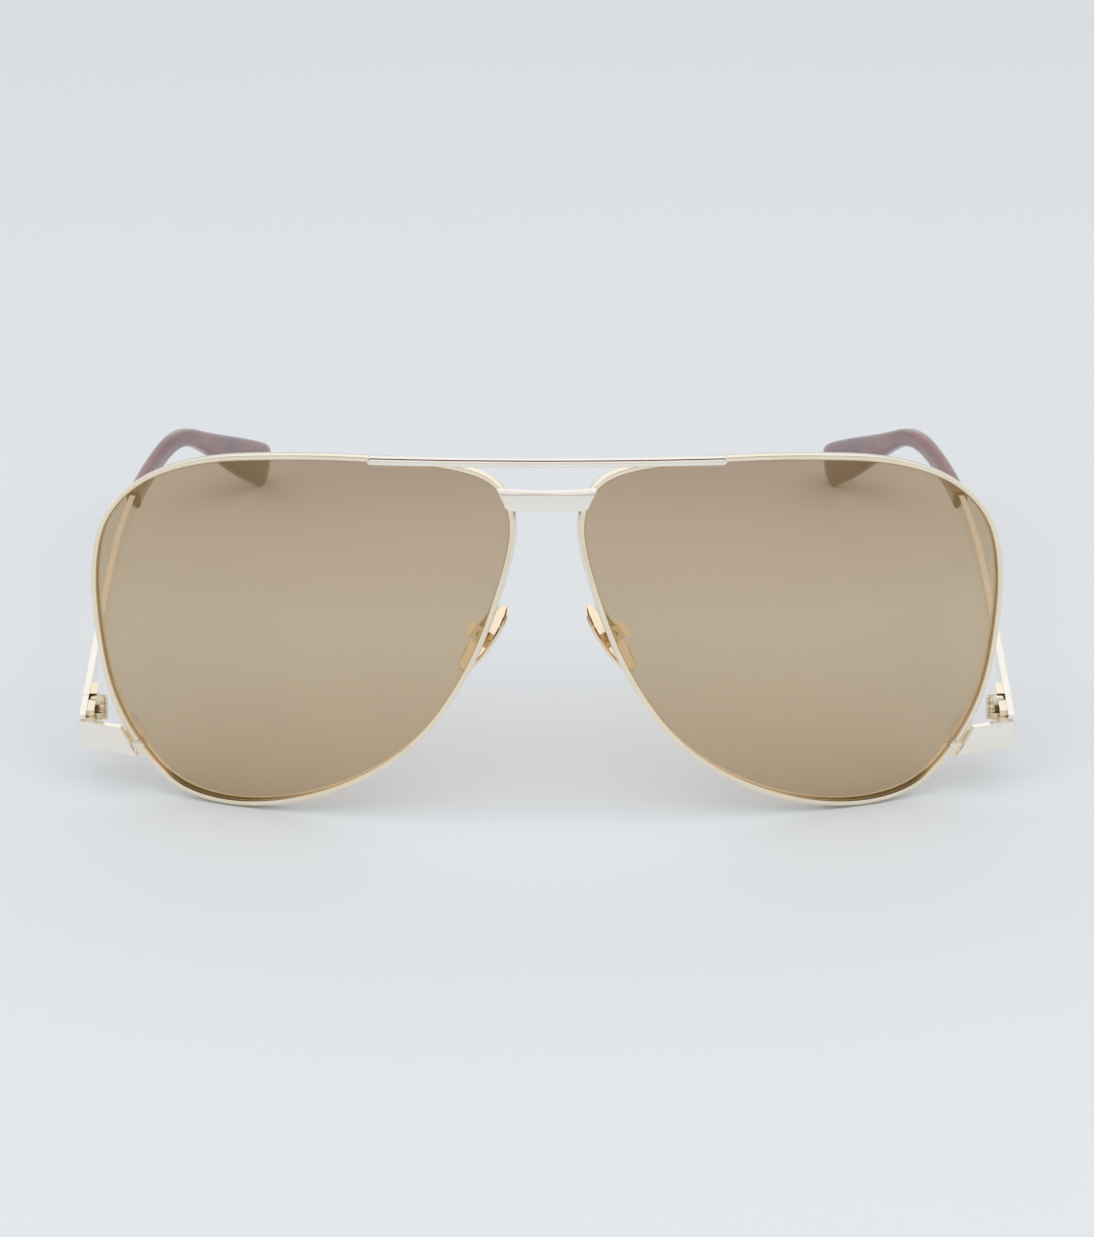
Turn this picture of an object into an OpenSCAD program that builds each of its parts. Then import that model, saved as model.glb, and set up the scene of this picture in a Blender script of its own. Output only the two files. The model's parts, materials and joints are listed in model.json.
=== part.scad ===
// Aviator sunglasses: two wire rims under a brow bar and a nose bridge, low-set
// end pieces, folding flat metal temples with acetate tips, and metal nose pads.
// Millimetres, +Z up, front towards -Y. The glasses stand open on a table, on the
// bottoms of the rims and the ends of the tips. Left is the wearer's left, at +X.

/* [Lenses] */
// Distance from the mid-plane to the middle of each lens
lens_x = 37.5; // [36.5:0.5:39]
// Radius of the front surface of each lens
lens_r = 88; // [84:1:100]
// Thickness of a lens
lens_t = 1.6; // [1.4:0.1:1.8]
// Angle by which each lens turns back towards its temple
wrap = 11; // [9:0.5:12]

/* [Rims] */
// Width of the rim wire, seen from the front
rim_w = 0.85; // [0.7:0.05:1]
// Height by which the rim stands in front of the lens edge
rim_lip = 0.5; // [0.3:0.05:0.6]
// Depth of the rim wire, front to back
rim_d = 2.5; // [2.2:0.1:2.8]

/* [Bars] */
// Half the length of the brow bar
bar_half = 27; // [24:0.5:29]
// Height of the brow bar
bar_h = 1.05; // [0.8:0.05:1.3]
// Half the width of the nose bridge along its top edge
bridge_half = 7.5; // [7:0.1:8]
// Height of the nose bridge
bridge_h = 2.9; // [2.4:0.1:3.2]

/* [Temples] */
// Distance from the hinge pin to the start of the acetate tip
sleeve_s = 72; // [64:1:76]
// Distance from the hinge pin to the middle of the ear bend
bend_s = 97.5; // [92:0.5:102]
// Length of a temple from the hinge pin to its end
temple_len = 138; // [134:0.5:146]
// Thickness of the metal temple
arm_t = 0.95; // [0.8:0.05:1.1]
// Rise of the temples from the front's own square line
arm_rise = 13; // [11:0.2:14]
// Angle of the temples inward from the hinge
arm_toe = 1; // [0:0.5:2]
// Height of the tip at its end
paddle_h = 7.6; // [6:0.2:8]

/* [Hinges] */
// Diameter of a hinge knuckle
knuckle_d = 1.9; // [1.7:0.1:2.1]
// Height of the hinge, three knuckles
hinge_h = 3.6; // [3:0.1:4]
// Diameter of the hinge screw
hinge_pin_d = 1.0; // [0.8:0.1:1.1]

/* [Nose pads] */
// Length of a nose pad
pad_len = 12.2; // [11:0.2:14]
// Width of a nose pad
pad_wide = 7; // [6:0.2:8]
// Slope of a nose pad seen from the front
pad_frontal = 38; // [30:1:40]
// Turn of a nose pad seen from above
pad_splay = 20; // [10:1:28]

/* [Hidden] */
$fn = 48;
gold = "#d9c08c";
pale_gold = "#e4d9c6";
tortoise = "#5f3a40";

// Standing pose: the front leans back so that the rim bottoms and tip ends touch z = 0
lean = 7.43;
stand = [0, -72.38, 30.87];

// Lens outline about the lens middle, nose side at negative first coordinate
lens_pts = [
  [2, 25.1], [-11, 25.1], [-22, 24.1], [-28.6, 21.3], [-31, 15.3], [-29.4, 6.2],
  [-25.1, -5.5], [-18.3, -15.9], [-9.2, -23.2], [1.5, -27.6], [12, -29], [20.6, -27],
  [26.4, -21], [30.5, -13.2], [32.5, -3.2], [33, 6.8], [31, 14.3], [25, 20.2],
  [15.1, 23.8]
];
lens_steps = 4;
lock_at = 12.05;         // place of the rim's split, counted along lens_pts
lock_gap = 0.02;         // half of the split, in the same count

bevel_v = 0.45 * lens_t;
bevel_u = 0.4;
lens_play = 0.04;
lens_land = 0.06;        // flat between the lens's faces and its bevel

hinge_x = 68.8;
hinge_y = 18.7;
hinge_z = -17.4;
arm_off = 1.95;          // from the pin to the inner face of the temple
arm_h0 = 4.2;            // height of the metal temple at the hinge
arm_h1 = 2.4;            // and where it enters the tip
joint_gap = 0.03;        // between the end piece and the open temple
arm_straight = 15;       // length over which the temple is straight, from the pin
tip_toe = 19;            // turn inward between there and the ear bend
toe_lead = 3;            // the turn is complete this far before the ear bend
tip_fall = 18.7;         // slope of the tip behind the ear bend
bend_len = 15.6;         // length over which the ear bend turns down
sleeve_h = 3.1;          // height of the tip at its start
sleeve_t = 2.4;          // thickness of the tip at its start
tip_round = 3.5;         // length over which the tip's end rounds off
core_end = temple_len - 13;
core_play = 0.04;

pad_at = [9.4, 8, -3.7];
pad_t = 1;

// ---- outline functions --------------------------------------------------------
pts_n = len(lens_pts);
function wrapi(i) = (i % pts_n + pts_n) % pts_n;
function cubic(a, b, c, d, t) =
  0.5 * (2 * b + (c - a) * t + (2 * a - 5 * b + 4 * c - d) * t * t
  + (3 * b - a - 3 * c + d) * t * t * t);
function edge(u) = let (i = floor(u), t = u - i)
  cubic(lens_pts[wrapi(i - 1)], lens_pts[wrapi(i)], lens_pts[wrapi(i + 1)],
        lens_pts[wrapi(i + 2)], t);
function edge_dir(u) = let (d = edge(u + 0.01) - edge(u - 0.01)) d / norm(d);
function outward(u) = let (d = edge_dir(u)) [d[1], -d[0]];
function sag(p) = lens_r - sqrt(lens_r * lens_r - p[0] * p[0] - p[1] * p[1]);
function rim_point(u, out, back) = let (p = edge(u), q = p + outward(u) * out)
  [q[0], sag(p) + back, q[1]];

// ---- solids from rings --------------------------------------------------------
// Rings joined in order, flat ends
module loft(rings) {
  m = len(rings);
  n = len(rings[0]);
  polyhedron(
    points = [for (r = rings) each r],
    faces = concat(
      [[for (i = [0:n - 1]) i]],
      [[for (i = [n - 1:-1:0]) (m - 1) * n + i]],
      [for (j = [0:m - 2], i = [0:n - 1])
        [j * n + i, (j + 1) * n + i, (j + 1) * n + (i + 1) % n, j * n + (i + 1) % n]]),
    convexity = 6);
}

// Rings joined in order, each end closed by a fan about a point
module domed_loft(rings, first, last) {
  m = len(rings);
  n = len(rings[0]);
  polyhedron(
    points = concat([for (r = rings) each r], [first, last]),
    faces = concat(
      [for (i = [0:n - 1]) [m * n, i, (i + 1) % n]],
      [for (i = [0:n - 1]) [m * n + 1, (m - 1) * n + (i + 1) % n, (m - 1) * n + i]],
      [for (j = [0:m - 2], i = [0:n - 1])
        [j * n + i, (j + 1) * n + i, (j + 1) * n + (i + 1) % n, j * n + (i + 1) % n]]),
    convexity = 6);
}

// ---- places -------------------------------------------------------------------
// Everything is drawn with the front upright, then leaned into the standing pose
module standing() translate(stand) rotate([-lean, 0, 0]) children();
module lens_place() translate([lens_x, 0, 0]) rotate([0, 0, wrap]) children();
module left() standing() children();
module right() standing() mirror([1, 0, 0]) children();
module both() {
  left() children();
  right() children();
}

// ---- rim and lens -------------------------------------------------------------
rim_edge = 0.12;         // flat along each of the wire's edges
groove_play = 0.06;      // between the lens bevel and the bottom of the groove
wire_core = 0.78;        // middle of the wire outside the groove, as a share of its width
rim_profile = let (f = -rim_lip, b = rim_d - rim_lip, c = rim_edge) [
  [0, f + c], [c, f], [rim_w - c, f], [rim_w, f + c],
  [rim_w, b - c], [rim_w - c, b], [c, b], [0, b - c],
  [0, 2 * bevel_v], [bevel_u + groove_play, bevel_v], [0, 0]
];

// The wire's ends face each other across the split
module rim() color(gold) lens_place() {
  count = pts_n * lens_steps;
  first = lock_at + lock_gap;
  last = lock_at + pts_n - lock_gap;
  cap = function (u) rim_point(u, wire_core * rim_w, bevel_v);
  domed_loft([for (k = [0:count]) let (u = first + (last - first) * k / count)
    [for (q = rim_profile) rim_point(u, q[0], q[1])]], cap(first), cap(last));
}

module lens() color("#8f7458", 0.7) lens_place() {
  count = pts_n * lens_steps;
  us = [for (k = [count:-1:1]) k * pts_n / count];
  face = function (s, back) [for (u = us) let (p = edge(u) * s) [p[0], sag(p) + back, p[1]]];
  side = [[-lens_play, 0], [-lens_play, lens_land], [bevel_u, bevel_v],
          [-lens_play, 2 * bevel_v - lens_land], [-lens_play, lens_t]];
  rings = concat(
    [for (s = [0.35, 0.7]) face(s, 0)],
    [for (q = side) [for (u = us) rim_point(u, q[0], q[1])]],
    [for (s = [0.7, 0.35]) face(s, lens_t)]);
  domed_loft(rings, [0, 0, 0], [0, lens_t, 0]);
}

// ---- brow bar and nose bridge ---------------------------------------------------
bar_z = 25.6;
bar_rise = 0.4;
bar_front = -0.85;
bar_back = 1.5;
function bow(x, half, rise) = rise * x * x / (half * half);

module brow_bar() color(pale_gold) standing()
  translate([0, bar_back, bar_z]) rotate([90, 0, 0]) linear_extrude(bar_back - bar_front) {
    half = bar_half - bar_h / 2;
    polygon(concat(
      [for (i = [-12:12]) let (x = half * i / 12) [x, bow(x, bar_half, bar_rise) - bar_h / 2]],
      [for (i = [12:-1:-12]) let (x = half * i / 12) [x, bow(x, bar_half, bar_rise) + bar_h / 2]]));
    for (s = [-1, 1]) translate([s * half, bow(half, bar_half, bar_rise)]) circle(d = bar_h);
  }

bridge_z = 19.75;
bridge_front = -1.2;
bridge_back = 0.95;
bridge_rise = 0.35;
bridge_bevel = 0.75;     // height of the bevel along the front's top edge
bevel_tilt = 25;         // of the bevel, back from the front face

module bridge_outline() {
  round_r = 0.8;
  low_half = bridge_half - 1.1;
  top = [for (i = [8:-1:-8]) let (x = bridge_half * i / 8)
    [x, bridge_h / 2 + bow(x, bridge_half, bridge_rise)]];
  low = [for (i = [-6:6]) let (x = (low_half - round_r) * i / 6)
    [x, -bridge_h / 2 + bow(x, bridge_half, bridge_rise)]];
  corner = [for (s = [-1, 1]) [for (a = [90:-15:0])
    [s * (low_half - round_r + round_r * cos(a)),
     -bridge_h / 2 + bow(low_half, bridge_half, bridge_rise) + round_r * (1 - sin(a))]]];
  polygon(concat(top, [for (i = [6:-1:0]) corner[0][i]], low, corner[1]));
}

module nose_bridge() color(pale_gold) standing()
  translate([0, 0, bridge_z]) difference() {
    translate([0, bridge_back, 0]) rotate([90, 0, 0])
      linear_extrude(bridge_back - bridge_front) bridge_outline();
    translate([0, bridge_front, bridge_h / 2 + bridge_rise / 2]) rotate([-bevel_tilt, 0, 0])
      cube([3 * bridge_half, 2 * bridge_bevel * sin(bevel_tilt), 4 * bridge_bevel], center = true);
  }

// ---- end piece ------------------------------------------------------------------
plate_front = 4.5;
plate_back = 6.2;
plate_in = 29.4;         // inner end of the top edge, in the lens's own frame
plate_top = -18.35;      // height of the top edge there
corner_r = 1.4;          // the plate turns back round this radius
corner_at = [34.9, 5.9];
corner_top = -17.7;
corner_low = -21.75;
low_round = 1.1;         // radius of the lower outer corner, seen from the front
side_len = 6.6;          // of the side plate, from the corner to the hinge

// Frame of the temple at the hinge: x outward, y along the temple, z up
module arm_place()
  translate([hinge_x, hinge_y, hinge_z]) rotate([arm_rise, 0, arm_toe]) children();

module plate_seen_from_front() {
  outer = corner_at[0] + corner_r;
  polygon(concat(
    [[26.8, -22.75], [plate_in, plate_top], [corner_at[0], corner_top], [outer, corner_top]],
    [for (a = [0:-15:-90])
      [outer - low_round + low_round * cos(a), corner_low + low_round + low_round * sin(a)]]));
}

module plate_seen_from_above() {
  translate([20, plate_front]) square([corner_at[0] - 20, plate_back - plate_front]);
  translate(corner_at) circle(r = corner_r);
}

module end_piece() color(pale_gold) {
  lens_place() difference() {
    intersection() {
      translate([0, 10, 0]) rotate([90, 0, 0]) linear_extrude(10) plate_seen_from_front();
      translate([0, 0, -25]) linear_extrude(10) plate_seen_from_above();
    }
    // Inner end, cut back so that it slopes down to the rim's inner edge
    translate([plate_in, plate_front, plate_top]) rotate([0, 30.5, 0]) rotate([0, 0, 24])
      translate([-3, -1.5, -8]) cube([3, 6, 16]);
  }
  arm_place() translate([arm_off, -side_len, -arm_h0 / 2])
    cube([arm_t, side_len - joint_gap, arm_h0]);
}

// ---- hinge ------------------------------------------------------------------------
knuckle_gap = 0.03;
mid_h = 1.3;             // height of the middle knuckle
web_t = 1.3;             // thickness of the web between knuckle and leaf
leaf_len = 3.6;
leaf_start = 1;
leaf_t = 1.15;
pin_play = 0.03;
head_d = 1.5;            // head of the hinge and lock screws
head_h = 0.4;
slot_w = 0.2;
slot_deep = 0.12;

module hinge_frame() translate([hinge_x, hinge_y, hinge_z]) children();

module knuckle(z0, z1, side) difference() {
  union() {
    translate([0, 0, z0]) cylinder(d = knuckle_d, h = z1 - z0);
    translate([0, side > 0 ? 0 : -web_t, z0]) cube([arm_off - leaf_t / 4, web_t, z1 - z0]);
  }
  translate([0, 0, z0 - 1]) cylinder(d = hinge_pin_d + 2 * pin_play, h = z1 - z0 + 2);
}

module hinge_leaf_plate(y0)
  arm_place() translate([arm_off - leaf_t, y0, -hinge_h / 2]) cube([leaf_t, leaf_len, hinge_h]);

module front_hinge_leaf() color(gold) {
  hinge_frame() difference() {
    for (s = [0, 1]) mirror([0, 0, s]) knuckle(mid_h / 2 + knuckle_gap, hinge_h / 2, -1);
    translate([0, 0, hinge_h / 2 - head_h]) cylinder(d = head_d + 2 * pin_play, h = 1);
  }
  hinge_leaf_plate(-leaf_start - leaf_len);
}

module temple_hinge_leaf() color(gold) {
  hinge_frame() knuckle(-mid_h / 2, mid_h / 2, 1);
  hinge_leaf_plate(leaf_start);
}

// The head sits in the upper knuckle's counterbore, clear of its floor
module hinge_screw() color(gold) hinge_frame() difference() {
  under_head = hinge_h / 2 - head_h + pin_play;
  union() {
    translate([0, 0, -hinge_h / 2]) cylinder(d = hinge_pin_d, h = hinge_h / 2 + under_head);
    translate([0, 0, under_head]) cylinder(d = head_d, h = head_h);
  }
  translate([-1, -slot_w / 2, under_head + head_h - slot_deep]) cube([2, slot_w, 1]);
}

// ---- temple -------------------------------------------------------------------------
// A share of the way from 0 to 1, held at its ends, and the same eased in and out
function share(t) = min(1, max(0, t));
function eased(t) = let (c = share(t)) c * c * (3 - 2 * c);

// The temple's heading at a length s from the pin: its rise and its turn inward
function rise_at(s) = arm_rise
  - (arm_rise + tip_fall) * eased((s - bend_s + bend_len / 2) / bend_len);
function toe_at(s) = arm_toe
  + tip_toe * pow(share((s - arm_straight) / (bend_s - toe_lead - arm_straight)), 3);
function heading(s) = let (t = toe_at(s), e = rise_at(s))
  [-sin(t) * cos(e), cos(t) * cos(e), sin(e)];
function upward(s) = let (t = toe_at(s), e = rise_at(s))
  [sin(t) * sin(e), -cos(t) * sin(e), cos(e)];
function sideways(s) = [cos(toe_at(s)), sin(toe_at(s)), 0];

path_step = 0.5;
arm_start = [hinge_x, hinge_y, hinge_z] + sideways(0) * (arm_off + arm_t / 2);
path = [for (i = 0, p = arm_start; i <= temple_len / path_step;
         p = p + path_step * heading((i + 0.5) * path_step), i = i + 1) p];
function on_path(s) = path[round(s / path_step)];

// Ring about the temple's line: half thickness, half height above and below the line
function flat_ring(s, ht, up, down) = [for (q = [[-ht, -down], [-ht, up], [ht, up], [ht, -down]])
  on_path(s) + sideways(s) * q[0] + upward(s) * q[1]];
function full(v) = sign(v) * pow(abs(v), 0.7);
function oval_ring(s, ht, up, down, n = 24) = [for (i = [0:n - 1]) let (
    a = -360 * (i + 0.5) / n,
    height = full(sin(a)) * (sin(a) > 0 ? up : down))
  on_path(s) + sideways(s) * full(cos(a)) * ht + upward(s) * height];

function arm_half(s) = (arm_h0 + (arm_h1 - arm_h0) * s / sleeve_s) / 2;
core_ss = [for (s = [sleeve_s - 8:3:core_end]) s];
arm_ss = concat([for (s = [arm_straight:5:sleeve_s - 9]) s], core_ss);
core_thin = [0.08, 0.7]; // taper of the strip inside the tip: half thickness, half height
function strip_ring(s, play) = let (
    t = share((s - sleeve_s) / (core_end - sleeve_s)),
    h = (s < sleeve_s ? arm_half(s) : arm_h1 / 2 - core_thin[1] * t) + play)
  flat_ring(s, arm_t / 2 - core_thin[0] * t + play, h, h);

module temple_arm() color(pale_gold) {
  arm_place() translate([arm_off, 0, 0]) rotate([90, 0, 90]) linear_extrude(arm_t)
    polygon([[joint_gap, -arm_h0 / 2], [arm_straight, -arm_half(arm_straight)],
             [arm_straight, arm_half(arm_straight)], [joint_gap, arm_h0 / 2]]);
  loft([for (s = arm_ss) strip_ring(s, 0)]);
}

// The paddle grows from just behind the ear bend, more below the line than above it
paddle_start = bend_s + 4;
tip_grow = paddle_h - sleeve_h;
function tip_up(s) = sleeve_h / 2 + tip_grow * 0.3 * eased((s - paddle_start) / 34);
function tip_down(s) = sleeve_h / 2 + tip_grow * 0.7 * eased((s - paddle_start) / 32);
function tip_scale(s) = let (e = share((s - temple_len + tip_round) / tip_round))
  sqrt(max(0.04, 1 - e * e));
tip_ss = concat(
  [for (s = [sleeve_s:1.5:temple_len - tip_round - 1]) s],
  [for (d = [tip_round, 2.5, 1.5, 1, 0.5, 0]) temple_len - d]);

module temple_tip() color(tortoise) difference() {
  loft([for (s = tip_ss) let (k = tip_scale(s))
    oval_ring(s, sleeve_t / 2 * (0.3 + 0.7 * k), tip_up(s) * (0.55 + 0.45 * k),
              tip_down(s) * (0.5 + 0.5 * k))]);
  loft([for (s = core_ss) strip_ring(s, core_play)]);
}

// ---- rim lock -----------------------------------------------------------------------
lock_w = 2.3;
lock_len = 2.2;
lock_deep = 2;
lock_out = 1.4;          // from the lens edge to the lock screw
lock_pin_d = 0.9;
lock_slit = 0.06;

// Frame at the rim's split: x out from the lens, y to the back, z along the rim
module lock_place() lens_place() {
  p = edge(lock_at);
  n = outward(lock_at);
  translate([p[0], sag(p) + rim_d - rim_lip + lock_deep / 2, p[1]])
    rotate([0, -atan2(n[1], n[0]), 0]) translate([lock_out, 0, 0]) children();
}

module lock_half(s) color(gold) lock_place() difference() {
  translate([-lock_w / 2, -lock_deep / 2, s > 0 ? lock_slit : -lock_slit - lock_len])
    cube([lock_w, lock_deep, lock_len]);
  translate([0, 0, -3]) cylinder(d = lock_pin_d + 2 * pin_play, h = 6);
  if (s < 0) translate([0, 0, -lock_len - 0.5]) cylinder(d = head_d + 2 * pin_play, h = head_h + 0.5);
}

// The head is sunk in the lower half, slot outward
module lock_screw() color(gold) lock_place() difference() {
  head_end = -lock_len - lock_slit;
  union() {
    translate([0, 0, -lock_len]) cylinder(d = lock_pin_d, h = 2 * lock_len);
    translate([0, 0, head_end]) cylinder(d = head_d, h = head_h);
  }
  translate([-slot_w / 2, -1, head_end - 1]) cube([slot_w, 2, 1 + slot_deep]);
}

// ---- nose pads ------------------------------------------------------------------------
// Frame of a pad: x out towards the lens, y across it to the back, z along its length
module pad_place()
  translate(pad_at) rotate([0, 0, -pad_splay]) rotate([0, -pad_frontal, 0]) children();

box_out = 1.6;           // from the pad's middle plane to the pin
box_in = 0.75;           // the box starts this far inside the pin
box_deep = 2.1;
box_w = 2.4;
box_h = 2.4;
box_wall = 0.55;
lug_w = 1.2;
lug_d = 1.6;
lug_play = 0.05;
pad_pin_d = 0.7;
pad_head_d = 1.2;
pad_crown = 0.3;         // crown of the side that meets the nose
pad_bow = 0.12;          // by which a pad's two ends curve away from the nose
pad_taper = 0.14;        // a pad is this share narrower at its top and wider at its bottom

function pad_ring(x, s) = [for (a = [0:7.5:352.5]) [
  x + pad_bow * pow(s * sin(a), 2),
  pad_wide / 2 * s * cos(a) * (1 - pad_taper * sin(a)),
  pad_len / 2 * s * sin(a)]];

module along_pin(d, half) translate([box_out, half, 0]) rotate([90, 0, 0]) cylinder(d = d, h = 2 * half);

module nose_pad() color(gold) pad_place() {
  domed_loft(concat(
    [for (s = [0.4, 0.75, 0.93]) pad_ring(pad_crown * s * s - pad_t / 2, s)],
    [for (x = [-0.1, 0.3]) pad_ring(x * pad_t, 1)],
    [for (s = [0.93, 0.75, 0.4]) pad_ring(pad_t / 2, s)]),
    [-pad_t / 2, 0, 0], [pad_t / 2, 0, 0]);
  difference() {
    union() {
      translate([0.2, -lug_w / 2, -lug_d / 2]) cube([box_out - 0.2, lug_w, lug_d]);
      along_pin(lug_d, lug_w / 2);
    }
    along_pin(pad_pin_d + 2 * pin_play, 2);
  }
}

// The block that the box is cut from
module box_block() pad_place()
  translate([box_out - box_in, -box_w / 2, -box_h / 2]) cube([box_deep, box_w, box_h]);

module pad_box() color(gold) difference() {
  box_block();
  pad_place() {
    translate([0, -lug_w / 2 - lug_play, -box_h])
      cube([box_out - box_in + box_deep - box_wall, lug_w + 2 * lug_play, 2 * box_h]);
    along_pin(pad_pin_d + 2 * pin_play, 3);
  }
}

module pad_screw() color(gold) pad_place() {
  along_pin(pad_pin_d, box_w / 2);
  translate([box_out, -box_w / 2, 0]) rotate([90, 0, 0]) cylinder(d = pad_head_d, h = 0.35);
}

wire_d = 0.8;
arm_pts = [[8.1, 1.2, 2.9], [8.15, 3.2, 2.6], [8.5, 5, 1.5], [9.4, 6.4, -0.3], [10.8, 7.4, -2.4]];
function wire_at(u) = let (
    top = len(arm_pts) - 1,
    i = min(floor(u), top - 1),
    q = function (k) arm_pts[min(max(k, 0), top)])
  cubic(q(i - 1), q(i), q(i + 1), q(i + 2), u - i);
function wire_ring(u, n = 12) = let (
    d = wire_at(u + 0.01) - wire_at(u - 0.01),
    a = cross(d, [1, 0, 0]),
    b = cross(d, a))
  [for (i = [0:n - 1]) wire_at(u)
    + wire_d / 2 * (a / norm(a) * cos(360 * i / n) + b / norm(b) * sin(360 * i / n))];

// From the back of the rim, back and out, then to the pad box
module pad_arm() color(gold) difference() {
  loft([for (u = [0:0.25:len(arm_pts) - 1]) wire_ring(u)]);
  box_block();
}

left() rim();  // left_rim
right() rim();  // right_rim
left() lens();  // left_lens
right() lens();  // right_lens
brow_bar();
nose_bridge();
left() end_piece();  // left_end_piece
right() end_piece();  // right_end_piece
left() front_hinge_leaf();  // left_front_hinge_leaf
right() front_hinge_leaf();  // right_front_hinge_leaf
left() temple_hinge_leaf();  // left_temple_hinge_leaf
right() temple_hinge_leaf();  // right_temple_hinge_leaf
both() hinge_screw();  // hinge_screws
left() lock_half(1);  // left_upper_lock_block
right() lock_half(1);  // right_upper_lock_block
left() lock_half(-1);  // left_lower_lock_block
right() lock_half(-1);  // right_lower_lock_block
both() lock_screw();  // lock_screws
left() temple_arm();  // left_temple_arm
right() temple_arm();  // right_temple_arm
left() temple_tip();  // left_temple_tip
right() temple_tip();  // right_temple_tip
left() pad_arm();  // left_pad_arm
right() pad_arm();  // right_pad_arm
left() pad_box();  // left_pad_box
right() pad_box();  // right_pad_box
both() pad_screw();  // pad_screws
left() nose_pad();  // left_nose_pad
right() nose_pad();  // right_nose_pad
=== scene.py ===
"""Finished looks for the aviator sunglasses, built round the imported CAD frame."""
import json
import math

import bmesh
import bpy
import numpy as np
from mathutils import Matrix, Vector


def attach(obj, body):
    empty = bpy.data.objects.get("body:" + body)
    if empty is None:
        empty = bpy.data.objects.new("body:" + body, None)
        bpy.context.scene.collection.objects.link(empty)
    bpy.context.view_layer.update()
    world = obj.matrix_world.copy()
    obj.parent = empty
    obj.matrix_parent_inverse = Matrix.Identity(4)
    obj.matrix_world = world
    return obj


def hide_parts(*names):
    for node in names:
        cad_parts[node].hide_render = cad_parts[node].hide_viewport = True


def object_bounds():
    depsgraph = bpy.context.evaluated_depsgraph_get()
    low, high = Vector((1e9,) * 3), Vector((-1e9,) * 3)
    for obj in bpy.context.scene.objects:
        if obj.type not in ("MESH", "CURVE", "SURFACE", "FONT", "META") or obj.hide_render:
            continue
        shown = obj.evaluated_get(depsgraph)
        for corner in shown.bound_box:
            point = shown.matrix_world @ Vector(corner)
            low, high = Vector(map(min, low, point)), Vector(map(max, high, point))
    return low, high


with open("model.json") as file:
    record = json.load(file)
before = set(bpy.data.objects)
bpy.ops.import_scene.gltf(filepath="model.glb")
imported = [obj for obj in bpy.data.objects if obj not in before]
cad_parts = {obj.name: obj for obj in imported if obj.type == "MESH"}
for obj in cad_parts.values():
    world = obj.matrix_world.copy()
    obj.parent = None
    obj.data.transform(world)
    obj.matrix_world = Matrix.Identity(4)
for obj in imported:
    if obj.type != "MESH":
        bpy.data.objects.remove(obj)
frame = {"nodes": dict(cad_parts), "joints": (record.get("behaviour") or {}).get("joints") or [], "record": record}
cad_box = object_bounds()

MM = 0.001

# ---- driving values in mm, the same as the CAD model's ---------------------------
HINGE = Vector((68.8, 18.7, -17.4))         # left hinge pin in the upright front's frame
LENS_X = 37.5                               # mid-plane to lens middle
LENS_R = 88.0                               # front surface of a lens
LENS_T = 1.6
WRAP = math.radians(11)
RIM_W = 0.85
RIM_LIP = 0.5
RIM_D = 2.5
BEVEL_U = 0.4                               # how far the lens bevel stands into the rim
BEVEL_V = 0.45 * LENS_T
GROOVE_PLAY = 0.06                          # room beyond the bevel in the groove
LENS_PLAY = 0.04                            # room between the rim and the lens's edge
SPLIT_GAP = 0.18                            # half of the gap between the rim's two ends

# The lip's inner edge is cut twice. Each point is out from the lens, and back from the front.
LIP_CUT = ((0, 0.36), (0.15, 0.11), (0.39, 0))

# ---- fineness of the meshes ------------------------------------------------------
STATIONS = 288                              # steps round a lens
LENS_RINGS = 24                             # rings of a lens face
CURVE_STEP = 0.05                           # share of the way between two points of the outline
CORNER_SHARE = 0.45                         # a rounded corner takes no more of a side
RIM_ROUND = 0.13                            # rounding of the rim wire, mm
RIM_ROUND_STEPS = 4
BAR_ROUND = 0.16                            # rounding of the brow bar, mm
BAR_ROUND_STEPS = 6
BAR_STEPS = 65                              # along the brow bar between its round ends
BAR_END_STEPS = 9                           # along each of them
EDGE_STEPS = 3                              # across a rounded edge
MERGED = 1e-6                               # points nearer than this are one, in metres

# Angles in degrees
FLAT = 0.05                                 # two faces that turn less than this are one
HARD = 35                                   # an edge of the CAD that turns more is rounded
HARD_AFTER = 40                             # an edge that turns more still shows as one
SWEPT_HARD = 35                             # the same, on the swept wires
LENS_HARD = 20                              # the same, on a lens

record = frame["record"]
nodes = frame["nodes"]
joints = {j["name"]: j for j in frame["joints"]}
slot_of = {s["node"]: s["material_slot"] for s in record["subparts"]}
body_of = {n: b for b, members in record["behaviour"]["bodies"].items() for n in members}

# The hinge screws stand square to the front, so their axis gives its lean
fold = joints["left_temple_fold"]
LEAN = math.atan2(fold["axis"][1], fold["axis"][2])
LEANED = Matrix.Rotation(-LEAN, 4, "X")
UPRIGHT = Matrix.Translation(Vector(fold["pos_m"]) - LEANED @ (HINGE * MM)) @ LEANED
LENS_PLACE = Matrix.Translation((LENS_X * MM, 0, 0)) @ Matrix.Rotation(WRAP, 4, "Z")


# ---- node helpers ----------------------------------------------------------------
NOISE_LOW, NOISE_HIGH = 0.35, 0.65          # nearly all of a noise's values lie between


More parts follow.
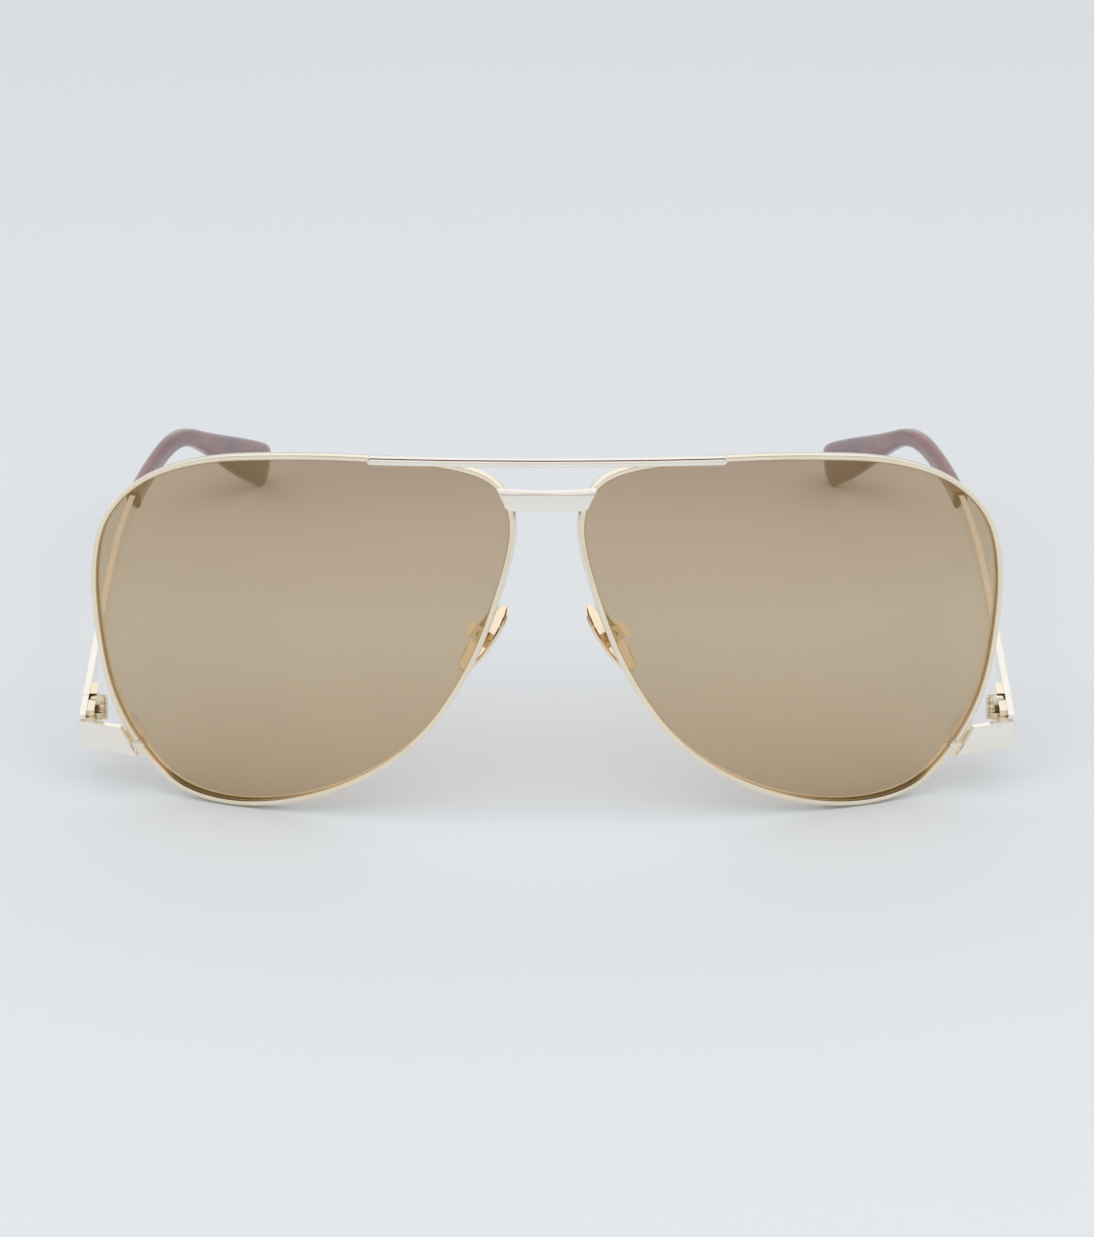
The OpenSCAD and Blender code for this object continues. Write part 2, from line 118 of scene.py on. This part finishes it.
class Nodes:
    """A short way to write a node tree."""

    def __init__(self, name):
        self.material = bpy.data.materials.new(name)
        self.material.use_nodes = True
        self.tree = self.material.node_tree
        self.tree.nodes.clear()
        self.place = self.add("ShaderNodeTexCoord").outputs["Object"]

    def add(self, kind, **inputs):
        node = self.tree.nodes.new(kind)
        for key, value in inputs.items():
            self.set(node.inputs[key.replace("_", " ")], value)
        return node

    def set(self, socket, value):
        if isinstance(value, bpy.types.NodeSocket):
            self.tree.links.new(value, socket)
        elif hasattr(value, "__len__") and len(value) == 3 and socket.type == "RGBA":
            socket.default_value = (*value, 1)
        else:
            socket.default_value = value

    def noise(self, scale, detail, stretch=(1, 1, 1)):
        mapping = self.add("ShaderNodeMapping", Vector=self.place, Scale=stretch)
        node = self.add("ShaderNodeTexNoise", Vector=mapping.outputs[0], Scale=scale,
                        Detail=detail)
        return node.outputs[0]

    def spread(self, value, low, high, start=NOISE_LOW, end=NOISE_HIGH):
        """The value, spread from start and end to low and high."""
        node = self.add("ShaderNodeMapRange", Value=value, From_Min=start, From_Max=end,
                        To_Min=low, To_Max=high)
        return node.outputs[0]

    def mix(self, factor, a, b):
        node = self.add("ShaderNodeMix")
        node.data_type = "RGBA"
        self.set(node.inputs[0], factor)
        self.set(node.inputs[6], a)
        self.set(node.inputs[7], b)
        return node.outputs[2]

    def height_share(self, low, high):
        """0 at one height of the upright front, in mm, and 1 at another."""
        back = UPRIGHT.inverted()
        up = self.add("ShaderNodeVectorMath", Vector=self.place)
        up.operation = "DOT_PRODUCT"
        up.inputs[1].default_value = back[2][:3]
        start, end = (height * MM - back[2][3] for height in (low, high))
        return self.spread(up.outputs["Value"], 0, 1, start, end)

    def bump(self, height, distance, strength):
        node = self.add("ShaderNodeBump", Height=height, Distance=distance, Strength=strength)
        return node.outputs[0]

    def finish(self, shader):
        output = self.add("ShaderNodeOutputMaterial")
        self.tree.links.new(shader, output.inputs["Surface"])
        return self.material


POLISH = (0.8, 1.35)                        # its least and most roughness, as shares of it
MARKS_HEIGHT = 0.000003
MARKS_STRENGTH = 0.25


def metal(name, colour, shade, roughness, brushed=0.0):
    """Plated metal: a faint change of tone, fine polishing marks and a hint of orange peel."""
    n = Nodes(name)
    tone = n.spread(n.noise(scale=140, detail=4), 0, 1)
    marks = n.noise(scale=2600, detail=5, stretch=(1, 1, 7))
    height = n.add("ShaderNodeMath")
    height.operation = "ADD"
    n.set(height.inputs[0], n.spread(marks, low=0, high=0.3 + brushed))
    n.set(height.inputs[1], n.noise(scale=700, detail=2))
    surface = n.add(
        "ShaderNodeBsdfPrincipled",
        Base_Color=n.mix(tone, colour, shade),
        Metallic=1.0,
        Roughness=n.spread(marks, *(roughness * share for share in POLISH)),
        Normal=n.bump(height.outputs[0], MARKS_HEIGHT, MARKS_STRENGTH + brushed),
    )
    return n.finish(surface.outputs[0])


BURGUNDY = (0.152, 0.058, 0.068)            # most of the acetate
RED_BROWN = (0.265, 0.094, 0.080)           # its lighter clouds
DARK_BROWN = (0.105, 0.044, 0.058)          # its darker ones


def acetate(name):
    """Polished tortoise acetate, burgundy brown with redder and darker clouds in its depth."""
    n = Nodes(name)
    cloud = n.spread(n.noise(scale=60, detail=2, stretch=(1, 0.5, 1)), 0, 1, start=0.36, end=0.66)
    deep = n.spread(n.noise(scale=95, detail=2, stretch=(1, 0.6, 1)), 0, 1, start=0.50, end=0.78)
    base = n.mix(cloud, BURGUNDY, RED_BROWN)
    surface = n.add(
        "ShaderNodeBsdfPrincipled",
        Base_Color=n.mix(deep, base, DARK_BROWN),
        Roughness=n.spread(n.noise(scale=900, detail=2), low=0.16, high=0.24),
        Normal=n.bump(n.noise(scale=260, detail=1), distance=0.000008, strength=0.2),
        Subsurface_Weight=0.2,
        Subsurface_Radius=(0.002, 0.0008, 0.0007),
        Coat_Weight=0.8,
        Coat_Roughness=0.06,
    )
    return n.finish(surface.outputs[0])


THROUGH = (0.70, 0.625, 0.575)              # one face of the lens, and light passes two
TOP_TINT = (0.93, 0.90, 0.90)               # share of that at the top of the lens
TOP_FADE = (2, 26)                          # mm above its middle where that begins and ends
HAZE_THROUGH = 0.99                         # how even the tint is
HAZE_MIRROR = 0.97                          # how even the mirror flash is


def tinted(name, through, mirror, roughness):
    """One face of a lens: what it lets through, a little less at the top, and its mirror flash."""
    n = Nodes(name)
    haze = n.spread(n.noise(scale=45, detail=2), 0, 1)
    even = n.mix(haze, through, [HAZE_THROUGH * c for c in through])
    top = [c * share for c, share in zip(through, TOP_TINT)]
    tint = n.mix(n.height_share(*TOP_FADE), even, top)
    clear = n.add("ShaderNodeBsdfTransparent", Color=tint)
    flash = n.add(
        "ShaderNodeBsdfGlossy",
        Color=n.mix(haze, mirror, [HAZE_MIRROR * c for c in mirror]),
        Roughness=n.spread(n.noise(scale=1200, detail=2), roughness, roughness * 1.5),
    )
    both = n.add("ShaderNodeAddShader")
    n.set(both.inputs[0], clear.outputs[0])
    n.set(both.inputs[1], flash.outputs[0])
    return n.finish(both.outputs[0])


HORIZON = (0.755, 0.790, 0.815)             # as bright as the floor, so that no edge shows
PAPER = (0.790, 0.842, 0.882)               # the floor
PAPER_LIGHT = (0.796, 0.848, 0.888)         # its lighter fibres
FLOOR_FADE = (0.5, 1.3)                     # metres out where it begins to fade, and has faded


def floor_material(name):
    """Pale paper that fades into the horizon's brightness beyond the picture."""
    n = Nodes(name)
    fibres = n.spread(n.noise(scale=3, detail=2), 0, 1)
    paper = n.add(
        "ShaderNodeBsdfPrincipled",
        Base_Color=n.mix(fibres, PAPER, PAPER_LIGHT),
        Roughness=0.9,
        Specular_IOR_Level=0.1,
    )
    away = n.add("ShaderNodeVectorMath", Vector=n.place)
    away.operation = "LENGTH"
    far = n.add("ShaderNodeEmission", Color=HORIZON)
    both = n.add("ShaderNodeMixShader", Fac=n.spread(away.outputs["Value"], 0, 1, *FLOOR_FADE))
    n.set(both.inputs[1], paper.outputs[0])
    n.set(both.inputs[2], far.outputs[0])
    n.material.cycles.emission_sampling = "NONE"     # it only fills the distance, and isn't a lamp
    return n.finish(both.outputs[0])


finishes = {
    "rim_gold": metal("rim_gold", (0.94, 0.85, 0.69), (0.91, 0.80, 0.62), 0.13),
    "pale_gold": metal("pale_gold", (0.96, 0.91, 0.84), (0.93, 0.87, 0.78), 0.14),
    "screw": metal("screw", (0.82, 0.72, 0.56), (0.76, 0.66, 0.50), 0.22, 0.3),
    "pad_gold": metal("pad_gold", (0.94, 0.80, 0.60), (0.91, 0.75, 0.53), 0.15),
    "acetate": acetate("acetate"),
}
lens_front = tinted("lens_front", THROUGH, (0.150, 0.122, 0.036), 0.05)
lens_back = tinted("lens_back", THROUGH, (0.035, 0.033, 0.026), 0.06)


# ---- pieces ------------------------------------------------------------------------
def settle(piece, node):
    """The piece takes the node's body and its place in the model."""
    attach(piece, body_of[node])
    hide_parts(node)
    return piece


def smooth(mesh, angle):
    mesh.polygons.foreach_set("use_smooth", [True] * len(mesh.polygons))
    mesh.set_sharp_from_angle(angle=math.radians(angle))
    mesh.update()


def new_piece(name, verts, faces, materials, face_slots=None):
    mesh = bpy.data.meshes.new(name)
    mesh.from_pydata([tuple(v) for v in verts], [], faces)
    for material in materials:
        mesh.materials.append(material)
    if face_slots is not None:
        mesh.polygons.foreach_set("material_index", face_slots)
    mesh.update()
    piece = bpy.data.objects.new(name, mesh)
    bpy.context.scene.collection.objects.link(piece)
    return piece


def applied(piece):
    """The piece's mesh becomes what its modifiers make of it."""
    bpy.context.view_layer.update()
    finished = piece.evaluated_get(bpy.context.evaluated_depsgraph_get())
    mesh = bpy.data.meshes.new_from_object(finished)
    piece.modifiers.clear()
    piece.data = mesh


def softened(node, width):
    """The CAD node's own shape with every hard edge rounded, as polishing leaves it."""
    name = node + "_finished"
    work = bmesh.new()
    work.from_mesh(nodes[node].data)
    bmesh.ops.remove_doubles(work, verts=work.verts, dist=MERGED)
    bmesh.ops.dissolve_limit(
        work, angle_limit=math.radians(FLAT), verts=work.verts, edges=work.edges)
    mesh = bpy.data.meshes.new(name)
    work.to_mesh(mesh)
    work.free()
    # The CAD mesh's own normals don't fit the rounded shape
    for left_over in ("custom_normal", "sharp_edge", "sharp_face"):
        if left_over in mesh.attributes:
            mesh.attributes.remove(mesh.attributes[left_over])
    mesh.materials.clear()
    mesh.materials.append(finishes[slot_of[node]])
    piece = bpy.data.objects.new(name, mesh)
    bpy.context.scene.collection.objects.link(piece)
    bevel = piece.modifiers.new("edges", "BEVEL")
    bevel.width = width * MM
    bevel.segments = EDGE_STEPS
    bevel.limit_method = "ANGLE"
    bevel.angle_limit = math.radians(HARD)
    bevel.use_clamp_overlap = True
    applied(piece)
    smooth(piece.data, HARD_AFTER)
    # The flat faces keep their own normals, so that only the rounded edges bend a reflection
    flats = piece.modifiers.new("flats", "WEIGHTED_NORMAL")
    flats.keep_sharp = True
    flats.weight = 100
    applied(piece)
    piece.data.name = name
    return settle(piece, node)


# ---- lens outline, read from the frame ---------------------------------------------
def sag(p):
    return LENS_R - np.sqrt(LENS_R**2 - (p**2).sum(-1))


def local_points(node):
    """A left-hand node's points in the lens's own frame, in mm."""
    back = (UPRIGHT @ LENS_PLACE).inverted()
    return np.array([back @ v.co for v in nodes[node].data.vertices]) / MM


def bevel_tip():
    """The points of the lens's sharp outer edge, in order round it."""
    flat = local_points("left_lens")[:, [0, 2]]
    angle = np.arctan2(flat[:, 1], flat[:, 0])
    radius = np.hypot(flat[:, 0], flat[:, 1])
    near = math.radians(1.2)                # a point of the edge is the outermost this near it
    level = 0.01                            # mm within which it still counts as that
    apart = 0.05                            # mm between two points
    inside = 0.6 * radius.max()             # points nearer the middle belong to the faces
    found = []
    for i in np.argsort(angle):
        if radius[i] < inside:
            continue
        turn = np.abs((angle - angle[i] + math.pi) % (2 * math.pi) - math.pi)
        if radius[i] >= radius[turn < near].max() - level:
            if not found or np.hypot(*(flat[i] - found[-1])) > apart:
                found.append(flat[i])
    if np.hypot(*(found[0] - found[-1])) < apart:
        found.pop()
    return np.array(found)


def round_curve(points, count):
    """A closed smooth curve through the points, with its outward normals and its length."""
    n = len(points)
    fine = []
    for i in range(n):
        a, b, c, d = (points[(i + k) % n] for k in (-1, 0, 1, 2))
        for t in np.arange(0, 1, CURVE_STEP):
            fine.append(0.5 * (2 * b + (c - a) * t + (2 * a - 5 * b + 4 * c - d) * t**2
                               + (3 * b - a - 3 * c + d) * t**3))
    fine = np.array(fine + [fine[0]])
    length = np.concatenate([[0], np.cumsum(np.hypot(*np.diff(fine, axis=0).T))])
    wanted = np.arange(count) * length[-1] / count
    curve = np.stack([np.interp(wanted, length, fine[:, k]) for k in (0, 1)], 1)
    along = np.roll(curve, -2, 0) - np.roll(curve, 2, 0)
    along /= np.hypot(*along.T)[:, None]
    return curve, np.stack([along[:, 1], -along[:, 0]], 1), length[-1]


tip, normal, around = round_curve(bevel_tip(), STATIONS)
edge = tip - normal * BEVEL_U


def edge_ring(out, back):
    """A ring round the lens, out from its edge and back from its front surface."""
    flat = edge + normal * out
    return np.stack([flat[:, 0], sag(edge) + back, flat[:, 1]], 1)


def to_row(points, side):
    """Points of the lens's own frame, in mm, to the row frame, on either side."""
    place = UPRIGHT @ Matrix.Diagonal((side, 1, 1, 1)) @ LENS_PLACE
    return [place @ (Vector(p) * MM) for p in points]


def joined(rings, closed):
    """Quads between rings in order, and round each ring."""
    m, n = len(rings), len(rings[0])
    last = m if closed else m - 1
    return [(j * n + i, j * n + (i + 1) % n, (j + 1) % m * n + (i + 1) % n, (j + 1) % m * n + i)
            for j in range(last) for i in range(n)]


def turned(faces, side):
    return [tuple(reversed(f)) for f in faces] if side < 0 else faces


def rounded(corners, radius, steps):
    """A closed outline with each corner rounded."""
    points = []
    n = len(corners)
    for i, corner in enumerate(corners):
        corner = np.array(corner)
        to_last = np.array(corners[i - 1]) - corner
        to_next = np.array(corners[(i + 1) % n]) - corner
        start = corner + to_last * min(CORNER_SHARE, radius / np.hypot(*to_last))
        end = corner + to_next * min(CORNER_SHARE, radius / np.hypot(*to_next))
        for t in np.linspace(0, 1, steps):
            points.append((1 - t)**2 * start + 2 * t * (1 - t) * corner + t**2 * end)
    return points


def rim(side, name):
    """The rim wire, swept round the lens from one end of its split to the other."""
    front, back = -RIM_LIP, RIM_D - RIM_LIP
    profile = rounded([*((out, front + back_by) for out, back_by in LIP_CUT),
                       (RIM_W, front), (RIM_W, back), (0, back),
                       (0, 2 * BEVEL_V), (BEVEL_U + GROOVE_PLAY, BEVEL_V), (0, 0)],
                      RIM_ROUND, RIM_ROUND_STEPS)
    # The rim is split where the lock blocks close it
    blocks = ("left_upper_lock_block", "left_lower_lock_block")
    lock = np.concatenate([local_points(block) for block in blocks]).mean(0)[[0, 2]]
    start = int(np.argmin(np.hypot(*(edge - lock).T)))
    skip = max(1, round(SPLIT_GAP * STATIONS / around))
    order = [(start + k) % STATIONS for k in range(skip, STATIONS - skip + 1)]
    rings = np.stack([edge_ring(*q) for q in profile], 1)[order]
    faces = joined(rings, closed=False)
    count = len(profile)
    faces.append(tuple(range(count - 1, -1, -1)))
    faces.append(tuple((len(order) - 1) * count + i for i in range(count)))
    piece = new_piece(name + "_wire", to_row(rings.reshape(-1, 3), side), turned(faces, side),
                      [finishes[slot_of[name]]])
    consistent(piece)
    smooth(piece.data, SWEPT_HARD)
    return settle(piece, name)


def consistent(piece):
    """Turns every face outward."""
    work = bmesh.new()
    work.from_mesh(piece.data)
    bmesh.ops.recalc_face_normals(work, faces=work.faces)
    work.to_mesh(piece.data)
    work.free()


def lens(side, name):
    """A lens: two spherical faces and the bevel that sits in the rim's groove."""
    inset = edge - normal * LENS_PLAY
    inward = np.linspace(1, 0, LENS_RINGS + 1)[:-1]

    def face(back, shares):
        flat = [inset * s for s in shares]
        return [np.stack([f[:, 0], sag(f) + back, f[:, 1]], 1) for f in flat]

    front = face(0, inward[::-1])
    rear = face(LENS_T, inward)
    rings = front + [edge_ring(BEVEL_U, BEVEL_V)] + rear
    count = STATIONS
    verts = np.concatenate(rings + [[[0, 0, 0]], [[0, LENS_T, 0]]])
    faces = joined(rings, closed=False)
    front_faces = (len(front) - 1) * count
    slots = [0] * front_faces + [1] * (len(faces) - front_faces)
    first, last = len(verts) - 2, len(verts) - 1
    faces += [(first, (i + 1) % count, i) for i in range(count)]
    slots += [0] * count
    base = (len(rings) - 1) * count
    faces += [(last, base + i, base + (i + 1) % count) for i in range(count)]
    slots += [1] * count
    piece = new_piece(name + "_glazed", to_row(verts, side), turned(faces, side),
                      [lens_front, lens_back], slots)
    consistent(piece)
    smooth(piece.data, LENS_HARD)
    return settle(piece, name)


BAR_BEVEL = (0.22, 0.46)                    # depth and height of the brow bar's top bevel
BAR_ENDS, BAR_MIDDLE = 0.9, 0.1             # shares of its half length where each is measured
BAR_LEAST = 0.0004                          # keeps its end rings from closing to a point


def brow_bar(name):
    """The brow bar, swept along its bow, with a bevelled top edge and half-round ends."""
    back = UPRIGHT.inverted()
    points = np.array([back @ v.co for v in nodes[name].data.vertices]) / MM
    half = points[:, 0].max()
    near, far = points[:, 1].min(), points[:, 1].max()
    ends = np.abs(points[:, 0]) > half * BAR_ENDS
    middle = np.abs(points[:, 0]) < half * BAR_MIDDLE
    high = (points[middle, 2].max() - points[middle, 2].min()) / 2
    base = points[middle, 2].max() - high
    rise = points[ends, 2].max() - high - base
    deep, tall = BAR_BEVEL
    profile = rounded([(near, -high), (far, -high), (far, high), (near + deep, high),
                       (near, high - tall)], BAR_ROUND, BAR_ROUND_STEPS)
    inner = half - high
    xs = np.concatenate([inner + high * np.sin(np.linspace(math.pi / 2, 0, BAR_END_STEPS))[:-1],
                         np.linspace(inner, -inner, BAR_STEPS),
                         -inner - high * np.sin(np.linspace(0, math.pi / 2, BAR_END_STEPS))[1:]])
    rings = []
    for x in xs:
        over = max(0.0, abs(x) - inner) / high
        share = math.sqrt(max(BAR_LEAST, 1 - over**2))
        centre = base + rise * (x / half)**2
        rings.append([(x, y, centre + z * share) for y, z in profile])
    count = len(profile)
    faces = joined(rings, closed=False)
    faces.append(tuple(range(count)))
    faces.append(tuple(range(len(rings) * count - 1, (len(rings) - 1) * count - 1, -1)))
    verts = [UPRIGHT @ (Vector(p) * MM) for ring in rings for p in ring]
    piece = new_piece(name + "_swept", verts, faces, [finishes[slot_of[name]]])
    consistent(piece)
    smooth(piece.data, SWEPT_HARD)
    return settle(piece, name)


# ---- the whole pair ------------------------------------------------------------------
for side, hand in ((1, "left"), (-1, "right")):
    rim(side, hand + "_rim")
    lens(side, hand + "_lens")
brow_bar("brow_bar")

# Radius, in mm, of the polished edges of each kind of piece
EDGES = {
    "nose_bridge": 0.3, "end_piece": 0.16, "hinge_leaf": 0.08,
    "hinge_screws": 0.05, "lock_block": 0.1, "lock_screws": 0.05, "temple_arm": 0.14,
    "temple_tip": 0.2, "pad_arm": 0.06, "pad_box": 0.1, "pad_screws": 0.05, "nose_pad": 0.12,
}
for node in sorted(nodes):
    for kind, width in EDGES.items():
        if kind in node:
            softened(node, width)


# ---- camera, floor and light -----------------------------------------------------------
VIEW_DOWN = math.radians(14.5)              # the camera looks down on the upright front
VIEW_FAR = 0.9                              # from where it stands, in metres
AIM_UP = 0.00155                            # it aims this far over the lenses' middle, in metres
FOCAL, SENSOR = 173.66, 36                  # mm

camera = bpy.data.objects.new("camera", bpy.data.cameras.new("camera"))
bpy.context.scene.collection.objects.link(camera)
camera.data.lens = FOCAL
camera.data.sensor_height = SENSOR
camera.data.sensor_fit = "VERTICAL"
camera.data.clip_start = 0.01
look = Vector((0, math.cos(VIEW_DOWN), -math.sin(VIEW_DOWN)))
aim = Vector((0, 0, AIM_UP))
camera.location = UPRIGHT @ (aim - look * VIEW_FAR)
toward = UPRIGHT.to_3x3() @ look
camera.rotation_euler = toward.to_track_quat("-Z", "Y").to_euler()
bpy.context.scene.camera = camera
bpy.context.scene.view_settings.view_transform = "Standard"

FLOOR_HALF = 6.0                            # half its side, in metres
floor = new_piece("floor", [(-FLOOR_HALF, -FLOOR_HALF, 0), (FLOOR_HALF, -FLOOR_HALF, 0),
                            (FLOOR_HALF, FLOOR_HALF, 0), (-FLOOR_HALF, FLOOR_HALF, 0)],
                  [(0, 1, 2, 3)], [floor_material("floor")])
floor.location.z = min(0.0, cad_box[0][2])

BEHIND = (1.02, 1.02, 1.02)                 # the lit wall behind the glasses
BESIDE = (0.50, 0.51, 0.52)                 # dimmer, over the camera
CANOPY = (0.98, 0.97, 0.95)                 # a lit panel above that
CEILING = (0.085, 0.045, 0.030)             # dim and warm, and seen only in polished edges
# Colours of the surround, each at a height in degrees over the horizon
BACK_WALL = [(1, HORIZON), (6, BEHIND), (38, BEHIND), (55, CEILING)]
FRONT_WALL = [(12, HORIZON), (27, BESIDE), (36, CANOPY), (47, CANOPY), (53, CEILING)]
WALLS_MEET = (-0.45, 0.1)                   # depths between which the front one turns into it


def studio_world():
    """A lit wall behind the glasses, a dimmer one over the camera, and a dark ceiling."""
    world = bpy.data.worlds.new("studio")
    bpy.context.scene.world = world
    world.use_nodes = True
    tree = world.node_tree
    parts = tree.nodes.new("ShaderNodeSeparateXYZ")
    tree.links.new(tree.nodes.new("ShaderNodeTexCoord").outputs["Generated"], parts.inputs[0])

    def ramp(steps):
        node = tree.nodes.new("ShaderNodeValToRGB")
        tree.links.new(parts.outputs["Z"], node.inputs[0])
        node.color_ramp.interpolation = "EASE"
        elements = node.color_ramp.elements
        for (degrees, colour), element in zip(steps[:1] + steps[-1:], elements):
            element.position = math.sin(math.radians(degrees))
            element.color = (*colour, 1)
        for degrees, colour in steps[1:-1]:
            elements.new(math.sin(math.radians(degrees))).color = (*colour, 1)
        return node.outputs[0]

    back, front = ramp(BACK_WALL), ramp(FRONT_WALL)
    share = tree.nodes.new("ShaderNodeMapRange")
    tree.links.new(parts.outputs["Y"], share.inputs["Value"])
    share.inputs["From Min"].default_value, share.inputs["From Max"].default_value = WALLS_MEET
    blend = tree.nodes.new("ShaderNodeMix")
    blend.data_type = "RGBA"
    tree.links.new(share.outputs[0], blend.inputs[0])
    tree.links.new(front, blend.inputs[6])
    tree.links.new(back, blend.inputs[7])
    tree.links.new(blend.outputs[2], tree.nodes["Background"].inputs[0])


studio_world()


LAMP_PLACE = Vector((0, -0.4, 1.3))
LAMP_AIM = Vector((0, 0, 0.03))
LAMP_SIZE = (2.2, 1.6)
LAMP_POWER = 13.1

# A soft lamp that lights the scene but isn't seen in reflections
light = bpy.data.lights.new("overhead", "AREA")
light.shape = "RECTANGLE"
light.size, light.size_y = LAMP_SIZE
light.energy = LAMP_POWER
lamp = bpy.data.objects.new("overhead", light)
lamp.location = LAMP_PLACE
lamp.rotation_euler = (LAMP_AIM - LAMP_PLACE).to_track_quat("-Z", "Y").to_euler()
lamp.visible_glossy = False
bpy.context.scene.collection.objects.link(lamp)
